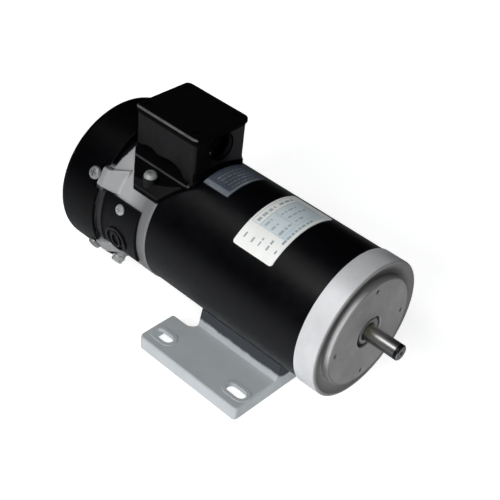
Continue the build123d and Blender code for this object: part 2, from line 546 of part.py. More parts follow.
N_SLOT = 16
core = tube(X_CORE2, X_CORE1, BODY_R, CORE_R)
cutter = []
for i in range(N_SLOT):
    cutter.append(Rot(i * 360 / N_SLOT, 0, 0) * (block(X_CORE2 - 1, X_CORE1 + 1, 25.0, 36.6, -2.6, 2.6) + block(X_CORE2 - 1, X_CORE1 + 1, 36, 42, -1.2, 1.2)))
for c in cutter:
    core -= c
out("armature_core", core)
ins = []
for x0, x1 in ((X_CORE1, X_CORE1 + .8), (X_CORE2 - .8, X_CORE2)):
    d = tube(x0, x1, 10.5, 38.2)
    for i in range(N_SLOT):
        d -= Rot(i * 360 / N_SLOT, 0, 0) * (block(x0 - 1, x1 + 1, 25.0, 36.6, -2.6, 2.6) + block(x0 - 1, x1 + 1, 36, 42, -1.2, 1.2))
    ins.append(d)
out("end_insulators", group(ins))
w = turn([(X_CORE1 + .8, 15), (X_CORE1 + .8, 36.4), (-28.5, 35.5), (-25.5, 32.5), (-25.5, 17)], {2: 3, 3: 3})
w += turn([(X_CORE2 - .8, 15), (X_CORE2 - .8, 36.4), (-171, 36.0), (-180.6, 24.4), (-180.6, 19), (-176, 15)], {2: 3})
for i in range(N_SLOT):
    w += Rot(i * 360 / N_SLOT, 0, 0) * block(X_CORE2 - 3, X_CORE1 + 3, 25.3, 36.3, -2.35, 2.35)
out("armature_winding", w)

N_BAR = 20
hub = turn([(-181.5, BODY_R), (-181.5, 15.5), (X_COM2 - 1.5, 15.5), (X_COM2 - 1.5, BODY_R)])
out("commutator_hub", hub)
bars = []
for i in range(N_BAR):
    p = 360 / N_BAR
    b = turn([(-181.2, 15.5), (-181.2, 24.0), (-184.5, 24.0), (-184.5, COM_R), (X_COM2, COM_R), (X_COM2, 15.5)], None, i * p + .9, p - 1.8)
    bars.append(b)
out("commutator_bars", group(bars))

fan = tube(-248.5, -234.5, SHAFT_R, 11.0)
fan += tube(-248.5, -246.7, 10.5, 54.0)
for i in range(9):
    fan += Rot(i * 40, 0, 0) * block(-247.5, -234.5, 9.5, 54.0, -1.0, 1.0)
fan = fan & tube(-260, -230, SHAFT_R - 1, 54.0)
out("cooling_fan", fan)
clip = tube(-249.3, -248.6, 5.35, 9.0) - block(-250, -248, 0, 12, -3.2, 3.2)
out("fan_clip", clip)
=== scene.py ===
import bpy, bmesh, json, math
from math import pi, sin, cos, radians, sqrt, atan2
from mathutils import Vector, Matrix, Euler, Quaternion

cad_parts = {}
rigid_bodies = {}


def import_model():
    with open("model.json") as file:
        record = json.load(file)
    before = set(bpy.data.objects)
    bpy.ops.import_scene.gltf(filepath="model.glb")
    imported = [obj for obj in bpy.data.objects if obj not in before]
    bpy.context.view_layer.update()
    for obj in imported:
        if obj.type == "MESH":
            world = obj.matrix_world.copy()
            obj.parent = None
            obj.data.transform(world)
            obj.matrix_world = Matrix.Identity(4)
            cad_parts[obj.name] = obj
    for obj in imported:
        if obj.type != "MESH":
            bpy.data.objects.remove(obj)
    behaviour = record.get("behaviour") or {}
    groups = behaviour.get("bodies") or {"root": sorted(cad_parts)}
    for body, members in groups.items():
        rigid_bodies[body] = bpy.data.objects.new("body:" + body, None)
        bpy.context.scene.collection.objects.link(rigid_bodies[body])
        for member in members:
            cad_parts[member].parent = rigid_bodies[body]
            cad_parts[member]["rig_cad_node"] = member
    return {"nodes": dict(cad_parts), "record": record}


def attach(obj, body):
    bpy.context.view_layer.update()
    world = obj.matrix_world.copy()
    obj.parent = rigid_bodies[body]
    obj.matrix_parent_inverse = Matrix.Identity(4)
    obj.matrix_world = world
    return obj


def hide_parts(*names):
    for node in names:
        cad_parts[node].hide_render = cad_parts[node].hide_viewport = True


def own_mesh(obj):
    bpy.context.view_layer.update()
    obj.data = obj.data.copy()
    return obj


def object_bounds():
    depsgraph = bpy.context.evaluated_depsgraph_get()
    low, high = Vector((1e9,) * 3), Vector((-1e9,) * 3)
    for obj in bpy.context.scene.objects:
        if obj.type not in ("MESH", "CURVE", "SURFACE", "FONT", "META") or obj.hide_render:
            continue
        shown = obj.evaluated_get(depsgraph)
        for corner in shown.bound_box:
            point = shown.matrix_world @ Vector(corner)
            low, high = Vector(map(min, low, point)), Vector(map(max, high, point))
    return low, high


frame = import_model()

CAD_LO, CAD_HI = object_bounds()
NODES = frame["nodes"]
MM = 0.001
scene = bpy.context.scene
COL = scene.collection


# ------------------------------------------------------------------ node helpers
class NT:
    """Small wrapper that builds a material's node tree."""

    def __init__(self, name):
        self.m = bpy.data.materials.new(name)
        self.m.use_nodes = True
        self.t = self.m.node_tree
        self.t.nodes.clear()
        self.out = self.n("ShaderNodeOutputMaterial")
        self.b = self.n("ShaderNodeBsdfPrincipled")
        self.link(self.b.outputs[0], self.out.inputs[0])
        self.co = self.n("ShaderNodeTexCoord").outputs["Object"]

    def n(self, kind, **kw):
        x = self.t.nodes.new(kind)
        for k, v in kw.items():
            setattr(x, k, v)
        return x

    def link(self, a, b):
        self.t.links.new(a, b)

    def val(self, socket, v):
        if hasattr(v, "links") or hasattr(v, "is_output"):
            self.link(v, socket)
        else:
            socket.default_value = v

    def noise(self, scale, detail=3.0, rough=0.55, vec=None, dist=0.0):
        x = self.n("ShaderNodeTexNoise")
        x.inputs["Scale"].default_value = scale
        x.inputs["Detail"].default_value = detail
        x.inputs["Roughness"].default_value = rough
        x.inputs["Distortion"].default_value = dist
        self.link(vec if vec is not None else self.co, x.inputs["Vector"])
        return x.outputs["Fac"]

    def voronoi(self, scale, feature="F1", vec=None):
        x = self.n("ShaderNodeTexVoronoi", feature=feature)
        x.inputs["Scale"].default_value = scale
        self.link(vec if vec is not None else self.co, x.inputs["Vector"])
        return x.outputs["Distance"]

    def math(self, op, a, b=0.0, c=0.0, clamp=False):
        x = self.n("ShaderNodeMath", operation=op)
        x.use_clamp = clamp
        self.val(x.inputs[0], a)
        self.val(x.inputs[1], b)
        self.val(x.inputs[2], c)
        return x.outputs[0]

    def ramp(self, f, a, b, lo=0.0, hi=1.0):
        """Maps f from a..b to lo..hi, clamped."""
        x = self.n("ShaderNodeMapRange")
        x.clamp = True
        self.val(x.inputs[0], f)
        x.inputs[1].default_value = a
        x.inputs[2].default_value = b
        x.inputs[3].default_value = lo
        x.inputs[4].default_value = hi
        return x.outputs[0]

    def mix(self, f, a, b):
        x = self.n("ShaderNodeMix", data_type="RGBA")
        self.val(x.inputs[0], f)
        for s, v in ((x.inputs[6], a), (x.inputs[7], b)):
            if isinstance(v, (tuple, list)):
                s.default_value = (*v, 1.0) if len(v) == 3 else v
            else:
                self.link(v, s)
        return x.outputs[2]

    def sep(self, vec=None):
        x = self.n("ShaderNodeSeparateXYZ")
        self.link(vec if vec is not None else self.co, x.inputs[0])
        return x.outputs

    def comb(self, x, y, z):
        c = self.n("ShaderNodeCombineXYZ")
        self.val(c.inputs[0], x)
        self.val(c.inputs[1], y)
        self.val(c.inputs[2], z)
        return c.outputs[0]

    def bump(self, h, strength, dist=0.0002, normal=None):
        x = self.n("ShaderNodeBump")
        x.inputs["Strength"].default_value = strength
        x.inputs["Distance"].default_value = dist
        self.link(h, x.inputs["Height"])
        if normal is not None:
            self.link(normal, x.inputs["Normal"])
        return x.outputs[0]

    def ao(self, dist, lo=0.0, hi=1.0, a=.35, b=.85):
        """Openness of the spot: lo in crevices and niches, hi on open surfaces."""
        x = self.n("ShaderNodeAmbientOcclusion", samples=6)
        x.inputs["Distance"].default_value = dist
        return self.ramp(x.outputs["AO"], a, b, lo, hi)

    def radius(self, y0=0.0, z0=0.0):
        s = self.sep()
        y = self.math("SUBTRACT", s[1], y0)
        z = self.math("SUBTRACT", s[2], z0)
        return self.math("SQRT", self.math("ADD", self.math("MULTIPLY", y, y), self.math("MULTIPLY", z, z)))

    def finish(self, color, rough, metallic=0.0, normal=None, **fixed):
        self.val(self.b.inputs["Base Color"], color) if not isinstance(color, (tuple, list)) else setattr(
            self.b.inputs["Base Color"], "default_value", (*color[:3], 1.0))
        self.val(self.b.inputs["Roughness"], rough)
        self.val(self.b.inputs["Metallic"], metallic)
        if normal is not None:
            self.link(normal, self.b.inputs["Normal"])
        for k, v in fixed.items():
            self.b.inputs[k.replace("_", " ")].default_value = v
        return self.m


def painted(name, base, rough=0.35, rvar=0.1, peel=900, peel_s=0.12, dust=0.0, dust_col=(.2, .2, .2), metallic=0.0, fine=0.0, fine_scale=5000,
            cvar=0.25, **kw):
    """Sprayed paint: orange peel, uneven gloss, faint dust and handling marks."""
    t = NT(name)
    big = t.noise(38, 4, .6)
    mid = t.noise(190, 3, .6)
    lo = tuple(c * (1 - cvar) for c in base)
    hi = tuple(min(1, c * (1 + cvar)) for c in base)
    col = t.mix(t.ramp(big, .35, .65), lo, hi)
    if dust:
        d = t.math("MULTIPLY", t.ramp(t.noise(75, 5, .7), .52, .78), t.ramp(t.noise(900, 2, .6), .4, .7))
        col = t.mix(t.math("MULTIPLY", d, dust), col, dust_col)
    r = t.math("ADD", t.ramp(mid, .3, .7, rough - rvar, rough + rvar), t.ramp(big, .4, .7, 0, rvar * .5))
    nb = t.bump(t.noise(peel, 2, .5), peel_s, .0002)
    if fine:
        nb = t.bump(t.noise(fine_scale, 1, .5), fine, .00006, nb)
    return t.finish(col, r, metallic, nb, **kw)


def metal(name, base, rough=0.3, rvar=0.08, metallic=1.0, turned=None, scratch=0.0, cvar=.12, grain=0.0, grain_scale=2500, stain=None, stain_col=(.3, .25, .15), **kw):
    """Bare or plated metal.  turned: spacing in metres of lathe marks round the shaft axis."""
    t = NT(name)
    big = t.noise(45, 4, .6)
    mid = t.noise(300, 4, .6)
    col = t.mix(t.ramp(big, .35, .68), tuple(c * (1 - cvar) for c in base), tuple(min(1, c * (1 + cvar * .6)) for c in base))
    if stain:
        col = t.mix(t.math("MULTIPLY", t.ramp(t.noise(120, 5, .7), .5, .75), stain), col, stain_col)
    r = t.ramp(mid, .3, .7, rough - rvar, rough + rvar)
    nb = None
    if turned:
        rr = t.radius()
        w = t.math("SINE", t.math("MULTIPLY", rr, 2 * pi / turned))
        w = t.math("ADD", w, t.math("MULTIPLY", t.noise(3.0 / turned, 1, .5, vec=t.comb(rr, 0.0, 0.0)), 1.2))
        nb = t.bump(w, .10, turned * .10)
        r = t.math("ADD", r, t.math("MULTIPLY", w, .02))
    if scratch:
        s = t.sep()
        v = t.comb(t.math("MULTIPLY", s[0], 60.0), t.math("MULTIPLY", s[1], 900.0), t.math("MULTIPLY", s[2], 900.0))
        nb = t.bump(t.noise(1.0, 4, .7, vec=v), scratch, .0001, nb)
    if grain:
        nb = t.bump(t.noise(grain_scale, 2, .6), grain, .0001, nb)
    return t.finish(col, r, metallic, nb, **kw)


def plastic(name, base, rough=.5, rvar=.08, tex=2600, tex_s=.25, cvar=.15, dust=0.0, **kw):
    t = NT(name)
    big = t.noise(42, 4, .6)
    col = t.mix(t.ramp(big, .35, .68), tuple(c * (1 - cvar) for c in base), tuple(min(1, c * (1 + cvar)) for c in base))
    if dust:
        d = t.math("MULTIPLY", t.ramp(t.noise(60, 5, .7), .5, .8), dust)
        col = t.mix(d, col, (.25, .25, .25))
    r = t.ramp(t.noise(150, 4, .6), .3, .7, rough - rvar, rough + rvar)
    nb = t.bump(t.noise(tex, 2, .6), tex_s, .00008)
    return t.finish(col, r, 0.0, nb, **kw)


def moulding(name, base, rough=.42, rvar=.07, rib_highlight=None, edge=None, tex_s=.30, **kw):
    """Black moulded plastic that is duller in its niches and painted darker there as painted shade, with painted
    highlights on its rib and lid edge.
    """
    t = NT(name)
    s = t.sep()
    big = t.noise(42, 4, .6)
    col = t.mix(t.ramp(big, .35, .68), tuple(c * .85 for c in base), tuple(c * 1.15 for c in base))
    # painted shade: the colour goes near black wherever the surface is closed in
    open_ = t.ao(.016, 0.0, 1.0, .38, .80)
    col = t.mix(open_, (.0005, .0005, .0006), col)
    matt = t.math("SUBTRACT", 1.0, open_)
    if rib_highlight:
        ay = t.math("ABSOLUTE", s[1])
        rr = t.radius()
        # painted shade: the pockets beside the box's side walls are painted near black
        pocket_shade = t.math("MULTIPLY", t.ramp(ay, .0252, .0250), t.ramp(s[2], .0593, .0588))
        pocket_shade = t.math("MAXIMUM", pocket_shade, t.math("MULTIPLY", t.ramp(rr, .0562, .0558), t.ramp(s[2], .030, .034)))
        pocket_shade = t.math("MULTIPLY", pocket_shade, t.ramp(s[0], -.1500, -.1508))
        # painted shade makes the entry collar near black and the wall darker on its near side, and painted light makes
        # the wall paler on its far side
        wall = t.math("MULTIPLY", t.ramp(s[0], -.1512, -.1506), t.ramp(s[0], -.1494, -.1498))
        pocket_shade = t.math("MAXIMUM", pocket_shade, t.ramp(s[0], -.1500, -.1497))
        col = t.mix(t.math("MULTIPLY", wall, t.ramp(s[1], .004, .012)), col, tuple(c * 3.4 for c in base))
        pocket_shade = t.math("MAXIMUM", pocket_shade, t.math("MULTIPLY", wall, t.ramp(s[1], -.004, -.010, 0.0, .85)))
        # painted highlight: a thin pale slanted glint on the box's front wall beside the entry
        u = t.math("SUBTRACT", s[2], t.math("MULTIPLY", s[1], .595))
        entry_glint = t.math("MULTIPLY", t.ramp(t.math("ABSOLUTE", t.math("SUBTRACT", u, .0786)), .0011, .0006),
                        t.math("MULTIPLY", t.ramp(s[1], -.0122, -.0112), t.ramp(s[1], -.0030, -.0046)))
        entry_glint = t.math("MULTIPLY", entry_glint, wall)
        col = t.mix(pocket_shade, col, (.0004, .0004, .0005))
        col = t.mix(t.math("MULTIPLY", entry_glint, .8), col, (.11, .11, .115))
        matt = t.math("MAXIMUM", matt, pocket_shade)
        # painted highlight: a pale line along the rib low on the box's sides
        m = t.math("MULTIPLY", t.ramp(ay, .0273, .0275), t.ramp(ay, .0295, .0293))
        m = t.math("MULTIPLY", m, t.math("MULTIPLY", t.ramp(s[2], .0472, .0476), t.ramp(s[2], .0496, .0492)))
        col = t.mix(m, col, rib_highlight)
    if edge:
        # painted shade: everything below the lid's lower edge is painted near black
        painted_shade = t.ramp(s[2], .0836, .0840)
        col = t.mix(painted_shade, col, (.0006, .0006, .0008))
        matt = t.math("MAXIMUM", matt, painted_shade)
        # painted highlight: a pale line along the top edge of the lid's sides
        m = t.math("MULTIPLY", t.ramp(s[2], .0864, .0867), t.ramp(s[2], .0884, .0880))
        m = t.math("MULTIPLY", m, t.ramp(t.math("ABSOLUTE", t.sep(t.n("ShaderNodeTexCoord").outputs["Normal"])[1]), .20, .55))
        m = t.math("MULTIPLY", m, t.ramp(t.math("ABSOLUTE", s[1]), .0245, .0252))
        m = t.math("MULTIPLY", m, t.ramp(t.noise(120, 3, .6), .3, .6, .55, 1.0))
        col = t.mix(m, col, edge)
    r = t.ramp(t.noise(150, 4, .6), .3, .7, rough - rvar, rough + rvar)
    r = t.math("MAXIMUM", r, t.math("MULTIPLY", matt, .92))
    nb = t.bump(t.noise(2600, 2, .6), tex_s, .00008)
    return t.finish(col, r, 0.0, nb, **kw)


def window_plastic(name, base):
    t = NT(name)
    s = t.sep()
    big = t.noise(42, 4, .6)
    col = t.mix(t.ramp(big, .35, .68), tuple(c * .85 for c in base), tuple(c * 1.15 for c in base))
    # painted highlight: the tops of the raised ridges are painted paler
    ridge_highlight = t.math("MULTIPLY", t.ramp(t.radius(), .05655, .0570), t.ramp(t.noise(300, 3, .6), .3, .6, .5, 1.0))
    col = t.mix(ridge_highlight, col, (.011, .011, .013))
    # painted sheen: the rear strap of the cover is painted paler
    strap_sheen = t.math("MULTIPLY", t.ramp(s[0], -.2118, -.2126), t.ramp(t.noise(160, 4, .6), .3, .65, .4, 1.0))
    col = t.mix(strap_sheen, col, (.034, .034, .038))
    r = t.ramp(t.noise(150, 4, .6), .3, .7, .36, .48)
    nb = t.bump(t.noise(2600, 2, .6), .25, .00008)
    return t.finish(col, r, 0.0, nb, Specular_IOR_Level=.24)


def seal_metal(name):
    """Dished steel cap of the seal, with painted shadow round its rim on the near side."""
    t = NT(name)
    s = t.sep()
    rr = t.radius()
    big = t.noise(90, 4, .6)
    col = t.mix(t.ramp(big, .35, .68), (.25, .245, .24), (.31, .305, .30))
    # painted shadow: a dark ring round the cap's rim on the near side
    g = t.math("ADD", rr, t.ramp(t.noise(420, 3, .6), .3, .7, -.0006, .0006))
    g = t.math("MULTIPLY", t.ramp(g, .0092, .0100), t.ramp(s[1], .0070, .0010))
    col = t.mix(g, col, (.018, .018, .018))
    r = t.ramp(t.noise(300, 4, .6), .3, .7, .42, .56)
    w = t.math("SINE", t.math("MULTIPLY", rr, 2 * pi / .0009))
    return t.finish(col, r, .35, t.bump(w, .08, .00006))


def endshield_metal(name, base, face, turned=.0011):
    """Silver-painted casting whose faces square to the shaft are machined and left duller, and given a darker grey that
    is partly painted shade.
    """
    t = NT(name)
    nrm = t.n("ShaderNodeTexCoord").outputs["Normal"]
    nx = t.sep(nrm)[0]
    px = t.sep()[0]
    front = t.ramp(px, -.0130, -.0100)
    mask = t.math("MULTIPLY", t.ramp(nx, .25, .93), front)
    big = t.noise(40, 4, .6)
    mott = t.noise(420, 4, .65)
    cast = t.mix(t.ramp(big, .35, .68), tuple(c * .93 for c in base), tuple(min(1, c * 1.05) for c in base))
    cast = t.mix(t.math("MULTIPLY", t.ramp(mott, .5, .8), .10), cast, (.30, .31, .32))
    mach = t.mix(t.ramp(big, .35, .68), tuple(c * .86 for c in face), tuple(c * 1.12 for c in face))
    rr = t.radius()
    w = t.math("SINE", t.math("MULTIPLY", rr, 2 * pi / turned))
    w = t.math("ADD", w, t.math("MULTIPLY", t.noise(2600, 1, .5, vec=t.comb(rr, 0.0, 0.0)), 1.5))
    mach = t.mix(t.math("MULTIPLY", t.ramp(w, -1, 2.2), .16), mach, tuple(c * .72 for c in face))
    stain = t.math("MULTIPLY", t.ramp(t.noise(90, 5, .7), .55, .75), .35)
    mach = t.mix(stain, mach, tuple(c * .75 for c in face))
    # painted shade: the machined face is a little darker towards the bottom
    mach = t.mix(t.ramp(t.sep()[2], -.050, .0, .02, 0.0), mach, tuple(c * .35 for c in face))
    col = t.mix(mask, cast, mach)
    r = t.math("ADD", t.ramp(t.noise(260, 4, .6), .3, .7, .40, .52), t.math("MULTIPLY", mask, .06))
    nb = t.bump(t.noise(2300, 2, .6), .14, .0001)
    wb = t.bump(t.math("MULTIPLY", w, mask), .10, .0001, nb)
    met = t.math("ADD", .30, t.math("MULTIPLY", mask, .12))
    # painted shade darkens the bevel round the mounting face, except for its front edge on the near side, which keeps
    # its lit colour as a painted highlight; the groove and the lower part get their own shade tones
    s = t.sep()
    bevel_shade = t.math("MULTIPLY", t.ramp(rr, .0411, .0418), t.ramp(rr, .0520, .0512))
    bevel_shade = t.math("MULTIPLY", bevel_shade, front)
    lit = t.math("MULTIPLY", t.ramp(s[1], -.010, -.024), t.ramp(s[2], -.010, .006))
    lit = t.math("MULTIPLY", lit, t.math("MULTIPLY", t.ramp(px, -.0040, -.0026), t.ramp(rr, .0450, .0446)))
    bevel_shade = t.math("MULTIPLY", bevel_shade, t.math("SUBTRACT", 1.0, lit))
    deep = t.ramp(px, -.0058, -.0030)
    below = t.ramp(s[2], .004, -.014)
    shade_tone = t.mix(deep, tuple(c * .48 for c in face), tuple(c * .62 for c in face))
    shade_tone = t.mix(below, shade_tone, t.mix(deep, tuple(c * .95 for c in face), tuple(c * .52 for c in face)))
    col = t.mix(t.math("MULTIPLY", bevel_shade, .94), col, shade_tone)
    # painted shade makes the rim darker on its far side
    far_shade = t.math("MULTIPLY", t.ramp(s[1], .010, .034), t.math("MULTIPLY", t.ramp(rr, .0495, .0510), t.ramp(px, -.0200, -.0100)))
    col = t.mix(t.math("MULTIPLY", far_shade, .75), col, tuple(c * .55 for c in face))
    # rear endshield: painted shade, darkest by the shell and lighter towards the lugs, with the raised lug pads a
    # little darker
    rear_shade = t.mix(t.ramp(px, -.176, -.192), tuple(c * .25 for c in base), tuple(c * .60 for c in base))
    rear_shade = t.mix(t.math("MULTIPLY", t.ramp(rr, .0543, .0552), .9), rear_shade, tuple(c * .43 for c in base))
    col = t.mix(t.ramp(px, -.150, -.170), col, rear_shade)
    # painted shadow of the fan cover on the casting beside it, above and below the lugs
    zabs = t.math("ABSOLUTE", s[2])
    lim = t.ramp(zabs, .034, .050, -.2170, -.2135)
    lim = t.math("ADD", lim, t.ramp(t.noise(260, 3, .6), .3, .7, -.0006, .0006))
    cover_shadow = t.math("MULTIPLY", t.ramp(t.math("SUBTRACT", lim, px), -.0004, .0006), t.ramp(zabs, .0350, .0362))
    cover_shadow = t.math("MULTIPLY", cover_shadow, t.ramp(rr, .0553, .0544))
    cover_shadow = t.math("MULTIPLY", cover_shadow, t.ramp(t.math("ABSOLUTE", s[1]), .0405, .0385))
    col = t.mix(cover_shadow, col, (.006, .006, .008))
    # painted shade in recesses and holes
    col = t.mix(t.ao(.0045, 1.0, 0.0, .30, .62), col, (.020, .020, .021))
    return t.finish(col, r, met, wb)


def base_paint(name, base, painted_shade):
    """Silver paint of the base; painted shade, near black, on the upper part of the webs under the shell."""
    t = NT(name)
    s = t.sep()
    rr = t.radius()
    big = t.noise(38, 4, .6)
    col = t.mix(t.ramp(big, .35, .65), tuple(c * .95 for c in base), tuple(c * 1.05 for c in base))
    d = t.math("MULTIPLY", t.ramp(t.noise(75, 5, .7), .52, .78), t.ramp(t.noise(900, 2, .6), .4, .7))
    col = t.mix(t.math("MULTIPLY", d, .2), col, (.34, .35, .35))
    # painted shade: the upper part of the webs, next to the shell, is painted near black
    edge = t.math("ADD", rr, t.ramp(t.noise(170, 3, .6), .3, .7, -.0006, .0006))
    m = t.ramp(edge, .0612, .0632, 1.0, 0.0)
    m = t.math("MULTIPLY", m, t.ramp(t.math("ABSOLUTE", s[1]), .0425, .0432, 1.0, 0.0))
    m = t.math("MULTIPLY", m, t.ramp(s[2], -.0541, -.0535, 0.0, 1.0))
    col = t.mix(m, col, painted_shade)
    r = t.math("ADD", t.ramp(t.noise(190, 3, .6), .3, .7, .38, .52), 0.0)
    nb = t.bump(t.noise(1300, 2, .5), .2, .0002)
    nb = t.bump(t.noise(5000, 1, .5), .3, .00006, nb)
    return t.finish(col, r, .12, nb)


def shaft_metal(name):
    """Ground shaft: fine turning marks round it, oil tint near the seal, dark chamfer, and painted reflections that
    darken its underside and its top.
    """
    t = NT(name)
    px = t.sep()[0]
    rr = t.radius()
    v = t.comb(t.math("MULTIPLY", px, 5200.0), t.math("MULTIPLY", t.sep()[1], 60.0), t.math("MULTIPLY", t.sep()[2], 60.0))
    rings = t.noise(1.0, 3, .6, vec=v)
    col = t.mix(t.ramp(rings, .35, .65), (.62, .615, .615), (.70, .695, .69))
    tint = t.math("MULTIPLY", t.ramp(px, .0075, .0025), t.ramp(t.noise(160, 3, .6), .25, .6, .25, .7))
    col = t.mix(t.math("MULTIPLY", tint, .8), col, (.66, .62, .30))
    nz = t.sep(t.n("ShaderNodeTexCoord").outputs["Normal"])
    # painted reflection: darker along the shaft's underside
    low = t.math("MULTIPLY", t.ramp(nz[2], .42, .02), t.ramp(t.math("ABSOLUTE", nz[0]), .5, .2))
    col = t.mix(t.math("MULTIPLY", low, .88), col, (.10, .10, .105))
    # painted reflection: a darker stripe along the shaft's top
    top = t.math("MULTIPLY", t.ramp(nz[2], .93, .99), t.ramp(t.math("ABSOLUTE", nz[0]), .5, .2))
    col = t.mix(t.math("MULTIPLY", top, .4), col, (.16, .16, .165))
    wear = t.math("MULTIPLY", t.ramp(t.noise(240, 5, .7), .56, .72), .25)
    col = t.mix(wear, col, (.32, .31, .30))
    ends = t.math("MULTIPLY", t.ramp(px, .0243, .0247), t.ramp(px, .0271, .0268))
    col = t.mix(t.math("MULTIPLY", ends, t.ramp(rr, .0040, .0046)), col, (.05, .05, .05))
    r = t.math("ADD", t.ramp(rings, .3, .7, .35, .42), t.math("MULTIPLY", ends, .1))
    nb = t.bump(rings, .05, .00003)
    return t.finish(col, r, 1.0, nb)


MAT = {
    "black_paint": painted("black_paint", (.0012, .0012, .0018), .34, .05, 700, .08, dust=.02, dust_col=(.04, .04, .04), Specular_IOR_Level=.29),
    "black_cover": painted("black_cover", (.0010, .0010, .0014), .36, .06, 1500, .16, dust=.02, dust_col=(.04, .04, .04), fine=.2, Specular_IOR_Level=.13),
    "black_plastic": moulding("black_plastic", (.0050, .0050, .0056), rib_highlight=(.050, .050, .054), edge=(.095, .095, .100), Specular_IOR_Level=.20),
    "cover_plastic": window_plastic("cover_plastic", (.0012, .0012, .0017)),
    "cast_aluminium": endshield_metal("cast_aluminium", (.68, .69, .71), (.37, .362, .362)),
    "silver_paint": base_paint("silver_paint", (.46, .49, .51), (.045, .050, .060)),
    "plate_print": metal("plate_print", (.86, .87, .85), .38, .06, .10, scratch=.05, cvar=.03, stain=.25, stain_col=(.62, .66, .70)),
    "plate_ink": painted("plate_ink", (.36, .41, .44), .5, .06, 3000, .1, cvar=.2),
    "plate_tint": painted("plate_tint", (.60, .68, .72), .42, .06, 3000, .1, cvar=.10, dust=.6, dust_col=(.40, .47, .51)),
    "label_print": painted("label_print", (.060, .072, .095), .36, .06, 2000, .12, cvar=.22, dust=.35, dust_col=(.14, .15, .17)),
    "label_strip": painted("label_strip", (.15, .17, .19), .42, .06, 2000, .12, cvar=.22, dust=.9, dust_col=(.62, .66, .66)),
    "ground_steel": shaft_metal("ground_steel"),
    "ferrite": painted("ferrite", (.06, .06, .065), .6, .08),
    "lamination": metal("lamination", (.3, .3, .32), .45, .08),
    "copper_enamel": metal("copper_enamel", (.5, .17, .06), .3, .08, .6),
    "phenolic": plastic("phenolic", (.010, .007, .005), .5, .08, Specular_IOR_Level=.1),
    "copper": metal("copper", (.75, .38, .22), .3, .08),
    "holder_brass": metal("holder_brass", (.72, .55, .25), .3, .08),
    "carbon": plastic("carbon", (.04, .04, .042), .5, .08),
    "spring_steel": metal("spring_steel", (.6, .6, .6), .3, .08),
    "fan_plastic": plastic("fan_plastic", (.03, .03, .033), .5, .08),
    "seal_rubber": plastic("seal_rubber", (.0012, .0012, .0012), .62, .08, Specular_IOR_Level=.10),
    "seal_cap": seal_metal("seal_cap"),
    "lead_insulation": plastic("lead_insulation", (.35, .02, .02), .45, .08),
    "black_screw": metal("black_screw", (.004, .004, .0045), .45, .08, .4, Specular_IOR_Level=.15),
    "bearing_steel": metal("bearing_steel", (.75, .75, .76), .15, .05),
    "zinc_screw": metal("zinc_screw", (.66, .68, .68), .34, .08, .7, grain=.08),
    "zinc_dull": metal("zinc_dull", (.36, .37, .37), .42, .08, .6, grain=.10, stain=.4, stain_col=(.16, .16, .16)),
}
SLOT_OF = {s["node"]: s["material_slot"] for s in frame["record"]["subparts"]}
for name, o in NODES.items():
    o.data.materials.clear()
    o.data.materials.append(MAT[{"fan_cover_screws": "zinc_dull", "front_bearing_seal": "seal_cap"}.get(name, SLOT_OF[name])])


# ------------------------------------------------------------------ pieces made here
def piece(name, verts, faces, mat, sharp=30):
    me = bpy.data.meshes.new(name)
    me.from_pydata(verts, [], faces)
    me.validate()
    bm = bmesh.new()
    bm.from_mesh(me)
    bmesh.ops.recalc_face_normals(bm, faces=bm.faces)
    bm.to_mesh(me)
    bm.free()
    me.shade_smooth()
    me.set_sharp_from_angle(angle=radians(sharp))
    o = bpy.data.objects.new(name, me)
    COL.objects.link(o)
    me.materials.append(mat)
    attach(o, "stator")
    return o


def arc_solid(x0, x1, a0, a1, r0, r1, rc=0.0, step=1.2, nx=6, edge=.08):
    """Thin curved plate on the cylinder about the shaft: x in mm, angles in degrees, corner radius rc, softened outer edge."""
    V, F = [], []
    rm = (r0 + r1) / 2
    L = radians(a1 - a0) * rm
    ts = [L * i / max(2, int((a1 - a0) / step)) for i in range(max(2, int((a1 - a0) / step)) + 1)]
    if rc:
        ts = sorted(set([round(rc * (1 - cos(pi / 2 * k / 6)), 4) for k in range(7)] + [round(L - rc * (1 - cos(pi / 2 * k / 6)), 4) for k in range(7)]
                        + [t for t in ts if rc < t < L - rc]))
    cols = []
    for t in ts:
        d = min(t, L - t)
        ins = rc - sqrt(max(0, rc * rc - (rc - d) ** 2)) if rc and d < rc else 0.0
        a = radians(a0) + t / rm
        row = []
        for k in range(nx + 1):
            x = x0 + ins + (x1 - x0 - 2 * ins) * k / nx
            row.append((x, a))
        cols.append(row)

    def add(r, shrink):
        base = len(V)
        cx, ca = (x0 + x1) / 2, radians((a0 + a1) / 2)
        for row in cols:
            for x, a in row:
                xx = x + (shrink if x < cx else -shrink) * (1 if abs(x - cx) > (x1 - x0) / 2 - 1e-6 or abs(x - row[0][0]) < 1e-9 or abs(x - row[-1][0]) < 1e-9 else 0)
                aa = a
                V.append((xx * MM, r * cos(aa) * MM, r * sin(aa) * MM))
        return base

    bot = add(r0, 0)
    top = add(r1, edge if edge and r1 - r0 > .2 else 0)
    n, m = len(cols), nx + 1
    for i in range(n - 1):
        for k in range(m - 1):
            F.append((bot + i * m + k, bot + i * m + k + 1, bot + (i + 1) * m + k + 1, bot + (i + 1) * m + k))
            F.append((top + i * m + k, top + (i + 1) * m + k, top + (i + 1) * m + k + 1, top + i * m + k + 1))
        for k in (0, m - 1):
            F.append((bot + i * m + k, bot + (i + 1) * m + k, top + (i + 1) * m + k, top + i * m + k))
    for i in (0, n - 1):
        for k in range(m - 1):
            F.append((bot + i * m + k, bot + i * m + k + 1, top + i * m + k + 1, top + i * m + k))
    return V, F


def merge(parts):
    V, F = [], []
    for v, f in parts:
        b = len(V)
        V += v
        F += [tuple(i + b for i in q) for q in f]
    return V, F


